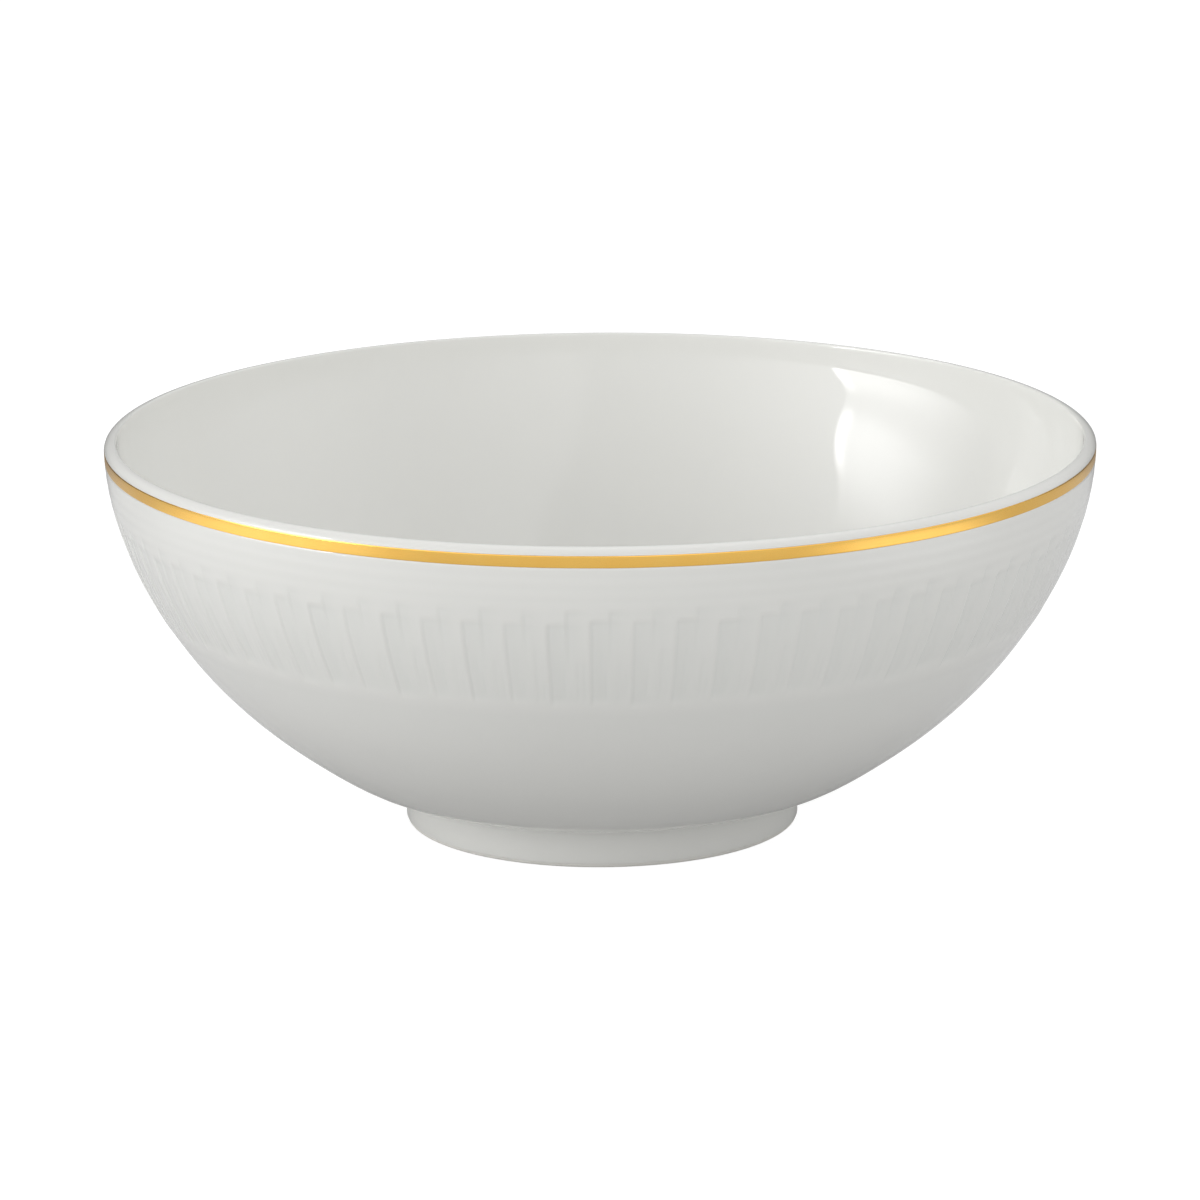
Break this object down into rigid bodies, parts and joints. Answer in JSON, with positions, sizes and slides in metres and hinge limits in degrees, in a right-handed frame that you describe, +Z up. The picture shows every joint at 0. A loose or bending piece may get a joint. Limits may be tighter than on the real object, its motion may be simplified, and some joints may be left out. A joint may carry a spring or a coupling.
{
  "type": "porcelain serving bowl",
  "caption": "Deep round porcelain serving bowl with flared sides, a turned foot ring, pleated relief on its outside and a gold line below the lip",
  "frame": {"origin": "the middle of the foot's resting face, on the bowl's axis", "axes": "+Z is up along the bowl's axis; X and Y lie in the plane the bowl rests on, and the bowl is the same all round"},
  "size_m": [0.24, 0.24, 0.096],
  "materials": {
    "biscuit": "fired white biscuit porcelain under the glaze, matt",
    "bare_foot": "biscuit porcelain foot, ground smooth and left bare where it rests",
    "glaze": "clear glaze over white porcelain, high gloss",
    "base_glaze": "clear glaze over white porcelain, high gloss",
    "gold": "fired and burnished gold lustre"
  },
  "bodies": {
    "root": {"bowl_body": "biscuit", "foot_ring": "bare_foot", "glaze_coat": "glaze", "base_glaze": "base_glaze", "gold_band": "gold"}
  },
  "joints": []
}
